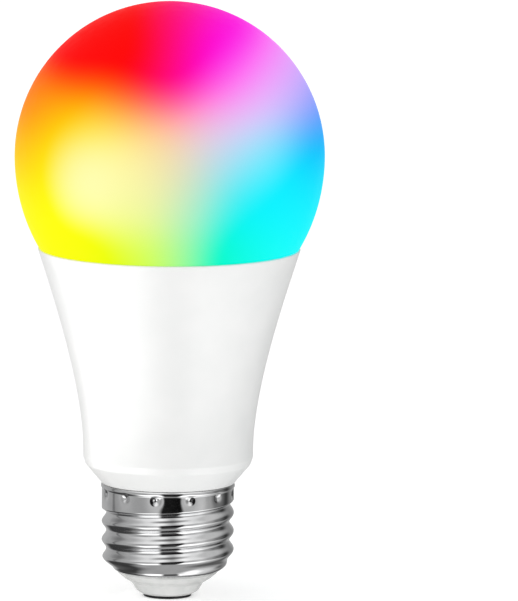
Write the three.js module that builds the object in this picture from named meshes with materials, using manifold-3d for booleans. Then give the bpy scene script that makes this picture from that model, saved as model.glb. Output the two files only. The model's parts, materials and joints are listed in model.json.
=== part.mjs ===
// A smart colour light bulb: A19 (A60) globe, moulded housing and E26 screw base, with its
// LED board, Wi-Fi module and mains driver inside.
//
// Millimetres, +Z up. The origin is the middle of the centre contact's flat underside, on
// the bulb's axis. The driver board stands in the XZ plane, with its input parts on -Y.

import * as THREE from "three";
import { mergeVertices } from "three/addons/utils/BufferGeometryUtils.js";
import Module from "manifold-3d";

const wasm = await Module();
wasm.setup();

// ---------------------------------------------------------------- driving dimensions

const TOTAL_HEIGHT = 118;
const TURN_SEGMENTS = 36; // facets round a large turned piece: a multiple of the dimples
const SMALL_TURN_SEGMENTS = 24;

const GLOBE = {
  radius: 30.5,
  lowerSemiAxis: 33.5, // the globe is a little longer below its equator than above it
  wall: 1.2,
  seamZ: 69.4,
  skirtOuter: 23.6,
  skirtInner: 22.4,
  skirtZ: 66.7,
};
GLOBE.centreZ = TOTAL_HEIGHT - GLOBE.radius;

const HOUSING = {
  wall: 1.4,
  rimZ: 69.3,
  rimRadius: 25.9,
  rimSlope: 0.303, // radius gained per millimetre of height where the flank meets the rim
  waistZ: 29,
  waistRadius: 16.75,
  chamferTopZ: 26.5,
  shoulderZ: 22.7,
  shoulderRadius: 13.1,
  boreRadius: 24, // the rim's bore, which takes the globe's skirt
  boreZ: 66.4,
  neckOuter: 11.4,
  neckInner: 9.9,
  neckZ: 10,
};

// The snap fit: a bead round the globe's skirt in a groove round the housing's bore. The half
// heights are measured from the middle of both, at z.
const SNAP = {
  z: 67.3,
  beadDepth: 0.35,
  beadCrest: 0.15,
  beadFoot: 0.4,
  grooveDepth: 0.4,
  grooveFloor: 0.4,
  grooveMouth: 0.6,
};

const GUTTER = { outer: 24.7, bottomZ: 68.2, play: 0.1 }; // holds the silicone round the skirt
const CRIMP = { radius: 11.7, bottomZ: 19.8, topZ: 22, collar: 12.4, lead: 0.2 }; // in the neck
const RAIL = { inner: 12.4, play: 0.3, rib: 1.2, bottomZ: 27.6, topZ: 35.4 };

const CUP = { wall: 0.9, play: 0.2, bottomZ: 36, topZ: 64.6, shelf: 1.2, shelfInner: 13 };

const BOARD = { radius: 22.8, bottomZ: 65, topZ: 66.4 }; // the round LED board
const SCREW = { ringRadius: 17, shank: 1.05, head: 2, headHeight: 1, length: 5 };

const SHELL = {
  crest: 13.05,
  pitch: 25.4 / 7, // seven threads to the inch
  threadArc: 1.025, // radius of both the crests and the roots
  grooveZ: 16.6, // height of the thread's root on the -X side
  threadEndZ: 19.6, // the plain band starts here
  sheet: 0.3,
  topZ: 22.6,
  bottomZ: 5.3,
  bottomRadius: 10.4,
  shoulderZ: 8.6, // the barrel turns in below this height
  lipZ: 21.6, // the rolled lip starts here
  lipSwell: 0.12,
  dimples: 12,
  dimpleDepth: 0.55,
  dimpleZ: 20.8,
  dimpleStart: THREE.MathUtils.degToRad(20), // the first dimple's angle from +X
};

const CONTACT = { radius: 4.75, flat: 4.5, thickness: 0.45, shank: 1.4, bore: 0.9, topZ: 6 };

const DRIVER = {
  thickness: 1.6,
  topZ: 58.5,
  ledgeZ: 24.8, // where the board's shoulders rest on the housing's inner ledge
  bottomZ: 14,
  halfWidth: 13.2,
  ledgeHalfWidth: 11.6,
  neckHalfWidth: 8.6,
};
const DRIVER_FACE = DRIVER.thickness / 2; // the board's two faces are at plus and minus this Y

const TRANSFORMER = {
  y: 6.2, // how far its middle stands from the driver board's mid-plane
  bottomZ: 35.6,
  topZ: 46.2,
  core: { halfWidth: 5.1, centreHalf: 1.4, outerLeg: 1.5, back: 1.4, height: 5.2, depth: 4.8 },
  bobbin: { tubeX: 4.2, tubeY: 6.4, flangeX: 6.8, flangeY: 9.2 },
};

const WIFI = { bottomZ: 50, topZ: 76, halfWidth: 6.5, nearY: 2, farY: 2.8 };

// The row of pins that carries the driver's outputs up through the LED board.
const LINK = { firstX: -10.5, pitch: 2, pins: 4, pin: 0.6, blockZ: 61, pinTopZ: 69 };
LINK.middleX = LINK.firstX + (LINK.pitch * (LINK.pins - 1)) / 2;

// ---------------------------------------------------------------- materials

const finish = (color, roughness, metalness = 0) =>
  new THREE.MeshStandardMaterial({ color, roughness, metalness });

const MATERIAL = {
  diffuser: finish(0xffd9c8, 0.4),
  housing: finish(0xf4f4f2, 0.35),
  silicone: finish(0xeeeeea, 0.6),
  aluminium: finish(0xb8babd, 0.45, 1),
  thermalPad: finish(0x9aa0a8, 0.9),
  whiteBoard: finish(0xf0f0ec, 0.5),
  greenBoard: finish(0x1f6b3a, 0.5),
  blueBoard: finish(0x153a63, 0.5),
  steel: finish(0xa9abae, 0.35, 1),
  warmLed: finish(0xf2c14e, 0.4),
  coolLed: finish(0xf6e58a, 0.4),
  rgbLed: finish(0xfafafa, 0.3),
  epoxy: finish(0x1c1c1e, 0.5),
  connector: finish(0xf2efe6, 0.5),
  gold: finish(0xcaa25a, 0.3, 1),
  capacitorSleeve: finish(0x20242c, 0.35),
  ferrite: finish(0x3a3b3d, 0.7),
  bobbin: finish(0x2b2b2b, 0.5),
  tape: finish(0xe3b93a, 0.4),
  filmCapacitor: finish(0xa8321f, 0.4),
  resistor: finish(0x3f7f63, 0.5),
  varistor: finish(0x2c5aa0, 0.5),
  redWire: finish(0xb3241c, 0.5),
  whiteWire: finish(0xe8e8e4, 0.5),
  nickel: finish(0xc9cacc, 0.2, 1),
  insulator: finish(0xdcdedc, 0.25),
  contact: finish(0x3a3a3a, 0.3, 1),
  chipCeramic: finish(0x9c8768, 0.6),
};

// ---------------------------------------------------------------- shaping helpers

/** A manifold-3d solid from a closed three.js geometry. */
function solidFrom(geometry) {
  const bare = geometry.index ? geometry.toNonIndexed() : geometry.clone();
  bare.deleteAttribute("normal");
  bare.deleteAttribute("uv");
  const merged = mergeVertices(bare, 1e-3);
  const mesh = new wasm.Mesh({
    numProp: 3,
    vertProperties: merged.attributes.position.array,
    triVerts: new Uint32Array(merged.index.array),
  });
  return new wasm.Manifold(mesh);
}

/** The three.js geometry of a manifold-3d solid. */
function geometryFrom(solid) {
  const mesh = solid.getMesh();
  const geometry = new THREE.BufferGeometry();
  geometry.setAttribute("position", new THREE.BufferAttribute(mesh.vertProperties, 3));
  geometry.setIndex(new THREE.BufferAttribute(mesh.triVerts, 1));
  geometry.computeVertexNormals();
  return geometry;
}

const join = (first, ...others) =>
  geometryFrom(others.reduce((sum, next) => sum.add(solidFrom(next)), solidFrom(first)));

const cut = (first, ...tools) =>
  geometryFrom(tools.reduce((rest, tool) => rest.subtract(solidFrom(tool)), solidFrom(first)));

/** A turned solid. The profile is [radius, z] pairs that run up the outside and down the inside. */
function turned(profile, segments = TURN_SEGMENTS) {
  const points = profile.map(([radius, z]) => new THREE.Vector2(radius, z));
  return new THREE.LatheGeometry(points, segments).rotateX(Math.PI / 2);
}

/** A turned ring, whose profile closes on its own first point. */
const turnedRing = (profile, segments) => turned([...profile, profile[0]], segments);

/** A block between two corners. */
function block([x0, y0, z0], [x1, y1, z1]) {
  const geometry = new THREE.BoxGeometry(x1 - x0, y1 - y0, z1 - z0);
  return geometry.translate((x0 + x1) / 2, (y0 + y1) / 2, (z0 + z1) / 2);
}

/** An upright cylinder. */
function rod(radius, bottomZ, topZ, [x, y]) {
  const geometry = new THREE.CylinderGeometry(radius, radius, topZ - bottomZ, 12);
  return geometry.rotateX(Math.PI / 2).translate(x, y, (bottomZ + topZ) / 2);
}

/** A flat shape, drawn in X and Y, raised from bottomZ to topZ. */
function raised(shape, bottomZ, topZ, curveSegments = 1) {
  const depth = topZ - bottomZ;
  const geometry = new THREE.ExtrudeGeometry(shape, { depth, bevelEnabled: false, curveSegments });
  return geometry.translate(0, 0, bottomZ);
}

/** A flat shape, drawn in X and Z, as an upright plate between two Y values. */
const standing = (shape, nearY, farY, curveSegments) =>
  raised(shape, -farY, -nearY, curveSegments).rotateX(Math.PI / 2);

/** A round wire, eight-sided, along a smooth curve through the points. */
function wire(points, radius, steps) {
  const section = new THREE.Shape().absarc(0, 0, radius, 0, Math.PI * 2);
  const extrudePath = new THREE.CatmullRomCurve3(points.map((p) => new THREE.Vector3(...p)));
  const options = { extrudePath, steps, curveSegments: 4, bevelEnabled: false };
  return new THREE.ExtrudeGeometry(section, options);
}

/** A rectangle with rounded corners, centred on a point. */
function roundedRectangle(width, height, corner, [x, y] = [0, 0]) {
  const right = x + width / 2;
  const top = y + height / 2;
  const left = x - width / 2;
  const bottom = y - height / 2;
  const shape = new THREE.Shape();
  shape.absarc(right - corner, top - corner, corner, 0, Math.PI / 2);
  shape.absarc(left + corner, top - corner, corner, Math.PI / 2, Math.PI);
  shape.absarc(left + corner, bottom + corner, corner, Math.PI, Math.PI * 1.5);
  shape.absarc(right - corner, bottom + corner, corner, Math.PI * 1.5, Math.PI * 2);
  return shape;
}

const circle = (radius, [x, y] = [0, 0]) =>
  new THREE.Shape().absarc(x, y, radius, 0, Math.PI * 2);

/** A point on a circle about the axis, at an angle in degrees from +X. */
function onRing(radius, degrees) {
  const angle = THREE.MathUtils.degToRad(degrees);
  return [radius * Math.cos(angle), radius * Math.sin(angle)];
}

// ---------------------------------------------------------------- assembly helpers

const bulb = new THREE.Group();

function piece(name, geometry, material) {
  const mesh = new THREE.Mesh(geometry, material);
  mesh.name = name;
  bulb.add(mesh);
  return mesh;
}

// ---------------------------------------------------------------- globe

/** Points down or up one surface of the globe, set in from the outside by inset. */
function globeCurve(inset, seamZ, upperSteps, lowerSteps) {
  const radius = GLOBE.radius - inset;
  const semiAxis = GLOBE.lowerSemiAxis - inset;
  const lowest = Math.asin((GLOBE.centreZ - seamZ) / semiAxis);
  const points = [];
  for (let i = lowerSteps; i > 0; i--) {
    const angle = (lowest * i) / lowerSteps;
    points.push([radius * Math.cos(angle), GLOBE.centreZ - semiAxis * Math.sin(angle)]);
  }
  for (let i = 0; i < upperSteps; i++) {
    const angle = ((Math.PI / 2) * i) / upperSteps;
    points.push([radius * Math.cos(angle), GLOBE.centreZ + radius * Math.sin(angle)]);
  }
  return [...points, [0, GLOBE.centreZ + radius]];
}

function diffuserDome() {
  const beadOuter = GLOBE.skirtOuter + SNAP.beadDepth;
  const skirt = [
    [GLOBE.skirtInner, GLOBE.skirtZ],
    [GLOBE.skirtOuter, GLOBE.skirtZ],
    [GLOBE.skirtOuter, SNAP.z - SNAP.beadFoot],
    [beadOuter, SNAP.z - SNAP.beadCrest],
    [beadOuter, SNAP.z + SNAP.beadCrest],
    [GLOBE.skirtOuter, SNAP.z + SNAP.beadFoot],
    [GLOBE.skirtOuter, GLOBE.seamZ],
  ];
  const outside = globeCurve(0, GLOBE.seamZ, 8, 3);
  const inside = globeCurve(GLOBE.wall, GLOBE.seamZ + GLOBE.wall, 6, 3).reverse();
  const throat = [GLOBE.skirtInner, GLOBE.seamZ];
  return turned([...skirt, ...outside, ...inside, throat, skirt[0]]);
}

/** The bead of silicone in the gutter between the globe's skirt and the housing's rim. */
function diffuserSeal() {
  const inner = GLOBE.skirtOuter + GUTTER.play;
  const outer = GUTTER.outer - GUTTER.play;
  const bottom = GUTTER.bottomZ + GUTTER.play;
  return turnedRing([
    [inner, bottom],
    [outer, bottom],
    [outer, HOUSING.rimZ],
    [inner, HOUSING.rimZ],
  ]);
}

// ---------------------------------------------------------------- housing and heat sink

// The housing's flank from waist to rim: upright at the waist, flaring to the rim's slope.
const waistHandle = 13.5;
const rimHandle = 6.3;
const flank = new THREE.CubicBezierCurve(
  new THREE.Vector2(HOUSING.waistRadius, HOUSING.waistZ),
  new THREE.Vector2(HOUSING.waistRadius, HOUSING.waistZ + waistHandle),
  new THREE.Vector2(HOUSING.rimRadius - HOUSING.rimSlope * rimHandle, HOUSING.rimZ - rimHandle),
  new THREE.Vector2(HOUSING.rimRadius, HOUSING.rimZ),
);

/** The flank's outside radius at a height, found by halving because height rises along the curve. */
function flankRadius(z) {
  let low = 0;
  let high = 1;
  for (let i = 0; i < 30; i++) {
    const middle = (low + high) / 2;
    if (flank.getPoint(middle).y < z) low = middle;
    else high = middle;
  }
  return flank.getPoint(high).x;
}

/** Points up the flank between two heights, set in by inset. */
function flankPoints(inset, bottomZ, topZ, steps) {
  return Array.from({ length: steps + 1 }, (_, i) => {
    const z = bottomZ + ((topZ - bottomZ) * i) / steps;
    return [flankRadius(z) - inset, z];
  });
}

/** The pair of ribs, on one side, that guides an edge of the driver board. */
function boardRails(side) {
  const outer = HOUSING.waistRadius - HOUSING.wall / 2;
  const slot = DRIVER_FACE + RAIL.play;
  const [x0, x1] = side > 0 ? [RAIL.inner, outer] : [-outer, -RAIL.inner];
  return [
    block([x0, slot, RAIL.bottomZ], [x1, slot + RAIL.rib, RAIL.topZ]),
    block([x0, -slot - RAIL.rib, RAIL.bottomZ], [x1, -slot, RAIL.topZ]),
  ];
}

function housingShell() {
  const { wall, rimZ, waistZ, waistRadius, boreRadius, boreZ, neckInner, neckOuter, neckZ } = HOUSING;
  const snapFloor = boreRadius + SNAP.grooveDepth;
  const cornerRound = 0.45; // how far the chamfer's top corner is eased
  const profile = turnedRing([
    [neckInner, neckZ],
    [neckOuter, neckZ],
    [neckOuter, CRIMP.bottomZ - CRIMP.lead],
    [CRIMP.radius, CRIMP.bottomZ], // the cap's dimples are punched in against this land
    [CRIMP.radius, CRIMP.topZ],
    [CRIMP.collar, CRIMP.topZ + CRIMP.lead],
    [CRIMP.collar, HOUSING.shoulderZ],
    [HOUSING.shoulderRadius, HOUSING.shoulderZ],
    [waistRadius - cornerRound, HOUSING.chamferTopZ],
    [waistRadius, HOUSING.chamferTopZ + 2.4 * cornerRound],
    ...flankPoints(0, waistZ, rimZ, 7),
    [GUTTER.outer, rimZ],
    [GUTTER.outer, GUTTER.bottomZ],
    [boreRadius, GUTTER.bottomZ],
    [boreRadius, SNAP.z + SNAP.grooveMouth],
    [snapFloor, SNAP.z + SNAP.grooveFloor],
    [snapFloor, SNAP.z - SNAP.grooveFloor],
    [boreRadius, SNAP.z - SNAP.grooveMouth],
    [boreRadius, boreZ],
    ...flankPoints(wall, waistZ, boreZ - 0.1, 6).reverse(),
    [waistRadius - wall, waistZ - 1.1],
    [12, DRIVER.ledgeZ - 0.4], // the inner ledge that the driver board's shoulders rest above
    [neckInner, DRIVER.ledgeZ - 0.8],
  ]);
  const wireGroove = block([-neckOuter - 0.6, -0.8, neckZ - 1], [-neckOuter + 0.9, 0.8, neckZ + 5]);
  const railed = join(profile, ...boardRails(1), ...boardRails(-1));
  return cut(railed, wireGroove);
}

const screwAngles = [90, 210, 330];
const screwHoles = (radius) => screwAngles.map((angle) => circle(radius, onRing(SCREW.ringRadius, angle)));

/** The drawn aluminium insert. Its shelf carries the LED board and takes the board's screws. */
function heatsinkCup() {
  const outside = HOUSING.wall + CUP.play;
  const inside = outside + CUP.wall;
  const shelfBottom = CUP.topZ - CUP.shelf;
  const cup = turnedRing([
    ...flankPoints(outside, CUP.bottomZ, CUP.topZ, 6),
    [CUP.shelfInner, CUP.topZ],
    [CUP.shelfInner, shelfBottom],
    ...flankPoints(inside, CUP.bottomZ, shelfBottom, 5).reverse(),
  ]);
  const pilots = screwAngles.map((angle) =>
    rod(SCREW.shank + 0.1, shelfBottom - 1, CUP.topZ + 1, onRing(SCREW.ringRadius, angle)),
  );
  return cut(cup, ...pilots);
}

function thermalPad() {
  const shape = circle(BOARD.radius - 0.8);
  shape.holes.push(circle(CUP.shelfInner + 1), ...screwHoles(SCREW.shank + 0.5));
  return raised(shape, CUP.topZ, BOARD.bottomZ, 10);
}

// ---------------------------------------------------------------- LED board and what is on it

function ledBoard() {
  const shape = circle(BOARD.radius);
  const moduleSlot = roundedRectangle(
    2 * WIFI.halfWidth + 0.8,
    WIFI.farY - WIFI.nearY + 0.6,
    0.3,
    [0, (WIFI.nearY + WIFI.farY) / 2],
  );
  const pinSlot = roundedRectangle(LINK.pitch * LINK.pins + 0.6, 2.6, 0.4, [LINK.middleX, 0]);
  shape.holes.push(moduleSlot, pinSlot, ...screwHoles(SCREW.shank + 0.25));
  return raised(shape, BOARD.bottomZ, BOARD.topZ, 10);
}

function boardScrew() {
  const { shank, head, headHeight, length } = SCREW;
  const body = turned(
    [
      [0, -length],
      [shank - 0.6, -length],
      [shank, -length + 1],
      [shank, 0],
      [head, 0],
      [head, headHeight * 0.6],
      [head * 0.6, headHeight],
      [0, headHeight],
    ],
    12,
  );
  const slotHalf = 0.25;
  const reach = 1.15;
  const floor = headHeight * 0.4;
  return cut(
    body,
    block([-reach, -slotHalf, floor], [reach, slotHalf, headHeight + 1]),
    block([-slotHalf, -reach, floor], [slotHalf, reach, headHeight + 1]),
  );
}

/** A surface-mount LED: a low block with a dished window, standing on z = 0. */
function ledPackage(length, width, height, windowRadius) {
  const body = block([-length / 2, -width / 2, 0], [length / 2, width / 2, height]);
  const dish = turned(
    [
      [0, height - 0.3],
      [windowRadius * 0.8, height - 0.3],
      [windowRadius, height + 0.1],
      [0, height + 0.1],
    ],
    8,
  );
  return cut(body, dish);
}

/** An integrated circuit standing on z = 0, its leads in two rows along X. */
function chipPackage(length, width, height, leadsPerSide) {
  const standOff = 0.15;
  const pitch = 1.27;
  const leadWidth = 0.4;
  const reach = width / 2 + 0.9;
  const parts = [block([-length / 2, -width / 2, standOff], [length / 2, width / 2, height])];
  for (let i = 0; i < leadsPerSide; i++) {
    const x = (i - (leadsPerSide - 1) / 2) * pitch;
    const foot = 0.2;
    parts.push(block([x - leadWidth / 2, -reach, 0], [x + leadWidth / 2, reach, foot]));
  }
  return join(...parts);
}

/** The socket that the link pins plug into, with one hole through it for each pin. */
function linkSocket() {
  const halfLength = 5;
  const halfWidth = 1.5;
  const hole = LINK.pin / 2 + 0.15;
  const body = block(
    [LINK.middleX - halfLength, -halfWidth, BOARD.topZ],
    [LINK.middleX + halfLength, halfWidth, BOARD.topZ + 4],
  );
  const holes = Array.from({ length: LINK.pins }, (_, i) => {
    const x = LINK.firstX + LINK.pitch * i;
    return block([x - hole, -hole, BOARD.topZ - 1], [x + hole, hole, BOARD.topZ + 5]);
  });
  return cut(body, ...holes);
}

/** The pin header on the driver board's top edge. Its pins bend down on to the board's face. */
function linkHeader() {
  const half = LINK.pin / 2;
  const parts = [
    block(
      [LINK.middleX - 4, -1.5, DRIVER.topZ],
      [LINK.middleX + 4, 1.5, LINK.blockZ],
    ),
  ];
  for (let i = 0; i < LINK.pins; i++) {
    const x = LINK.firstX + LINK.pitch * i;
    const tail = DRIVER_FACE + 0.4;
    parts.push(block([x - half, -half, LINK.blockZ - 1], [x + half, half, LINK.pinTopZ]));
    parts.push(
      block([x - half, -tail, DRIVER.topZ - 3], [x + half, -DRIVER_FACE, DRIVER.topZ + 0.5]),
    );
  }
  return join(...parts);
}

function addLedBoard() {
  piece("heatsink_cup", heatsinkCup(), MATERIAL.aluminium);
  piece("thermal_pad", thermalPad(), MATERIAL.thermalPad);
  piece("led_board", ledBoard(), MATERIAL.whiteBoard);

  const standOn = (mesh, radius, degrees) => {
    const [x, y] = onRing(radius, degrees);
    mesh.position.set(x, y, BOARD.topZ);
    return mesh;
  };
  screwAngles.forEach((angle, i) => {
    standOn(piece(`board_screw_${i + 1}`, boardScrew(), MATERIAL.steel), SCREW.ringRadius, angle);
  });

  const whiteRing = 18.6;
  const rgbRing = 11.8;
  for (let i = 0; i < 6; i++) {
    const warm = piece(`warm_led_${i + 1}`, ledPackage(3.5, 2.8, 0.8, 1.2), MATERIAL.warmLed);
    const cool = piece(`cool_led_${i + 1}`, ledPackage(3.5, 2.8, 0.8, 1.2), MATERIAL.coolLed);
    const rgb = piece(`rgb_led_${i + 1}`, ledPackage(4.6, 4.6, 1.4, 1.8), MATERIAL.rgbLed);
    standOn(warm, whiteRing, 60 * i + 15).rotation.z = THREE.MathUtils.degToRad(60 * i + 105);
    standOn(cool, whiteRing, 60 * i + 45).rotation.z = THREE.MathUtils.degToRad(60 * i + 135);
    standOn(rgb, rgbRing, 60 * i + 30);
  }

  const colourIc = piece("led_driver_ic", chipPackage(4.9, 2.6, 1.5, 4), MATERIAL.epoxy);
  colourIc.position.set(10, -0.6, BOARD.topZ);
  [-2, 0, 2].forEach((y, i) => {
    const chip = block([-0.8, -0.4, 0], [0.8, 0.4, 0.5]);
    piece(`colour_resistor_${i + 1}`, chip, MATERIAL.epoxy).position.set(14.4, y, BOARD.topZ);
  });
  piece("link_socket", linkSocket(), MATERIAL.connector);
}

// ---------------------------------------------------------------- Wi-Fi module

/** The printed antenna: one copper line that runs to and fro across the module's top. */
function wifiAntenna() {
  const line = 0.5;
  const thickness = 0.15;
  const bottom = 70.5;
  const top = WIFI.topZ - 0.5;
  const runs = 6;
  const spacing = 1.8;
  const strip = (x0, x1, z0, z1) => block([x0, WIFI.farY, z0], [x1, WIFI.farY + thickness, z1]);
  const parts = [];
  for (let i = 0; i < runs; i++) {
    const x = (i - (runs - 1) / 2) * spacing;
    const turnZ = i % 2 ? bottom : top - line;
    parts.push(strip(x - line / 2, x + line / 2, bottom, top));
    if (i < runs - 1) parts.push(strip(x, x + spacing, turnZ, turnZ + line));
  }
  return join(...parts);
}

/** The strip of pins that joins the module to the driver board's face. */
function wifiHeader() {
  const parts = [block([-5, DRIVER_FACE, 53], [5, WIFI.nearY, 55.2])];
  for (let x = -4; x <= 4; x += 2) {
    parts.push(block([x - 0.25, 1.15, 51.2], [x + 0.25, 1.65, 57]));
  }
  return join(...parts);
}

function addWifiModule() {
  const board = block(
    [-WIFI.halfWidth, WIFI.nearY, WIFI.bottomZ],
    [WIFI.halfWidth, WIFI.farY, WIFI.topZ],
  );
  piece("wifi_board", board, MATERIAL.blueBoard);
  piece("wifi_antenna", wifiAntenna(), MATERIAL.gold);
  piece("wifi_header", wifiHeader(), MATERIAL.epoxy);
  piece("wifi_chip", block([-4, WIFI.farY, 56], [1, WIFI.farY + 0.9, 61]), MATERIAL.epoxy);
  piece("wifi_crystal", block([2.4, WIFI.farY, 57], [4.9, WIFI.farY + 0.7, 59]), MATERIAL.steel);
  const capacitor = block([2.6, WIFI.farY, 62], [4.6, WIFI.farY + 0.9, 63.2]);
  piece("wifi_capacitor", capacitor, MATERIAL.chipCeramic);
}

// ---------------------------------------------------------------- mains driver

function driverBoard() {
  const { halfWidth, ledgeHalfWidth, neckHalfWidth, topZ, ledgeZ, bottomZ } = DRIVER;
  const shoulderZ = ledgeZ + 1.8;
  const shape = new THREE.Shape();
  shape.moveTo(-neckHalfWidth, bottomZ);
  shape.lineTo(neckHalfWidth, bottomZ);
  shape.lineTo(neckHalfWidth, ledgeZ);
  shape.lineTo(ledgeHalfWidth, ledgeZ);
  shape.lineTo(halfWidth, shoulderZ);
  shape.lineTo(halfWidth, topZ);
  shape.lineTo(-halfWidth, topZ);
  shape.lineTo(-halfWidth, shoulderZ);
  shape.lineTo(-ledgeHalfWidth, ledgeZ);
  shape.lineTo(-neckHalfWidth, ledgeZ);
  return standing(shape, -DRIVER_FACE, DRIVER_FACE);
}

/** A radial electrolytic capacitor lying up the board, its two leads bent back to the board. */
function electrolytic({ radius, length, x, y, bottomZ }) {
  const crimpZ = bottomZ + 1.6;
  const topZ = bottomZ + length;
  const can = turned(
    [
      [0, bottomZ],
      [radius - 0.3, bottomZ],
      [radius, bottomZ + 0.4],
      [radius, crimpZ - 0.4],
      [radius - 0.4, crimpZ],
      [radius, crimpZ + 0.4],
      [radius, topZ - 0.4],
      [radius - 0.4, topZ],
      [0, topZ],
    ],
    16,
  ).translate(x, y, 0);
  const boardY = Math.sign(y) * (DRIVER_FACE + 0.1);
  const leads = [-1, 1].map((side) => {
    const leadX = x + side * radius * 0.45;
    const path = [
      [leadX, y, bottomZ + 0.5],
      [leadX, y, bottomZ - 1],
      [leadX, (y + boardY) / 2, bottomZ - 2],
      [leadX, boardY, bottomZ - 2.2],
    ];
    return wire(path, 0.3, 6);
  });
  return join(can, ...leads);
}

/** A drum-core inductor in its sleeve, standing up the board. */
function filterInductor({ radius, x, y, bottomZ, topZ }) {
  const waist = radius - 0.4;
  const drum = turned(
    [
      [0, bottomZ],
      [radius, bottomZ],
      [radius, bottomZ + 1],
      [waist, bottomZ + 1.5],
      [waist, topZ - 1.5],
      [radius, topZ - 1],
      [radius, topZ],
      [0, topZ],
    ],
    16,
  ).translate(x, y, 0);
  return withLeads(drum, [x - 1.5, x + 1.5], bottomZ + 0.4, y);
}

/** One E-shaped half of the transformer's ferrite, its back down and its legs up. */
function ferriteHalf() {
  const { halfWidth, centreHalf, outerLeg, back, height, depth } = TRANSFORMER.core;
  const window = halfWidth - outerLeg;
  const shape = new THREE.Shape();
  shape.moveTo(-halfWidth, 0);
  shape.lineTo(halfWidth, 0);
  shape.lineTo(halfWidth, height);
  shape.lineTo(window, height);
  shape.lineTo(window, back);
  shape.lineTo(centreHalf, back);
  shape.lineTo(centreHalf, height);
  shape.lineTo(-centreHalf, height);
  shape.lineTo(-centreHalf, back);
  shape.lineTo(-window, back);
  shape.lineTo(-window, height);
  shape.lineTo(-halfWidth, height);
  return standing(shape, -depth / 2, depth / 2);
}

/** The bobbin: a square tube over the core's middle legs, with two flanges and four pins. */
function transformerBobbin() {
  const { y, bobbin, bottomZ, topZ } = TRANSFORMER;
  const flangeBottom = bottomZ + TRANSFORMER.core.back + 0.2;
  const flangeTop = topZ - TRANSFORMER.core.back - 0.2;
  const hole = roundedRectangle(bobbin.tubeX - 1, bobbin.tubeY - 1, 0.2, [0, y]);
  const tube = roundedRectangle(bobbin.tubeX, bobbin.tubeY, 0.4, [0, y]);
  const flange = roundedRectangle(bobbin.flangeX, bobbin.flangeY, 0.6, [0, y]);
  tube.holes.push(hole);
  flange.holes.push(hole);
  const bobbinFace = y - bobbin.flangeY / 2 + 0.6;
  const pins = [-2, 2].flatMap((x) =>
    [flangeBottom + 0.1, flangeTop - 0.5].map((z) =>
      block([x - 0.3, DRIVER_FACE, z], [x + 0.3, bobbinFace, z + 0.4]),
    ),
  );
  return join(
    raised(tube, flangeBottom + 0.2, flangeTop - 0.2),
    raised(flange, flangeBottom, flangeBottom + 0.6),
    raised(flange, flangeTop - 0.6, flangeTop),
    ...pins,
  );
}

function transformerWinding() {
  const { y, bobbin, bottomZ, topZ } = TRANSFORMER;
  const inFromEnds = TRANSFORMER.core.back + 1;
  const winding = roundedRectangle(bobbin.flangeX - 0.2, bobbin.flangeY - 0.6, 1.4, [0, y]);
  winding.holes.push(roundedRectangle(bobbin.tubeX + 0.2, bobbin.tubeY + 0.2, 0.4, [0, y]));
  return raised(winding, bottomZ + inFromEnds, topZ - inFromEnds);
}

function addTransformer() {
  const lower = piece("transformer_core_lower", ferriteHalf(), MATERIAL.ferrite);
  lower.position.set(0, TRANSFORMER.y, TRANSFORMER.bottomZ);
  const upper = piece("transformer_core_upper", ferriteHalf(), MATERIAL.ferrite);
  upper.position.set(0, TRANSFORMER.y, TRANSFORMER.topZ);
  upper.rotation.y = Math.PI;
  piece("transformer_bobbin", transformerBobbin(), MATERIAL.bobbin);
  piece("transformer_winding", transformerWinding(), MATERIAL.tape);
}

/** A component's body joined to square leads that run from it into the board's +Y face. */
function withLeads(body, leadXs, leadZ, reachY) {
  const leads = leadXs.map((x) =>
    block([x - 0.3, DRIVER_FACE, leadZ], [x + 0.3, reachY, leadZ + 0.6]),
  );
  return join(body, ...leads);
}

/** A dipped block, rounded at its corners, standing 0.7 mm off the board's +Y face. */
function filmCapacitor({ x, z, width, height, depth }) {
  const near = DRIVER_FACE + 0.7;
  const body = standing(roundedRectangle(width, height, 1.2, [x, z]), near, near + depth, 3);
  return withLeads(body, [x - 2.4, x + 2.4], z - 2, near + 1);
}

/** A dipped disc, standing 0.7 mm off the board's +Y face. */
function varistor({ x, z, radius, depth }) {
  const near = DRIVER_FACE + 0.7;
  const body = standing(circle(radius, [x, z]), near, near + depth, 8);
  return withLeads(body, [x - 2.2, x + 2.2], z - 1.6, near + 1);
}

/** The fusible resistor: a dog-bone body stood on end in the neck, leads bent to the board. */
function fusibleResistor({ radius, x, y, bottomZ, topZ }) {
  const waist = radius - 0.3;
  const body = turned(
    [
      [0, bottomZ],
      [radius, bottomZ + 0.2],
      [radius, bottomZ + 1.6],
      [waist, bottomZ + 2],
      [waist, topZ - 2],
      [radius, topZ - 1.6],
      [radius, topZ - 0.2],
      [0, topZ],
    ],
    12,
  ).translate(x, y, 0);
  const lead = (insideZ, outsideZ) => wire(
    [
      [x, y, insideZ],
      [x, y - 0.1, outsideZ],
      [x, DRIVER_FACE + 0.1, outsideZ],
    ],
    0.3,
    6,
  );
  return join(body, lead(bottomZ + 0.6, bottomZ - 1), lead(topZ - 0.6, topZ + 1));
}

/** A surface-mount piece stood against the driver board's -Y face, at a height and an X. */
function onFrontFace(mesh, x, z) {
  mesh.rotation.x = Math.PI / 2;
  mesh.position.set(x, -DRIVER_FACE, z);
}

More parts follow.
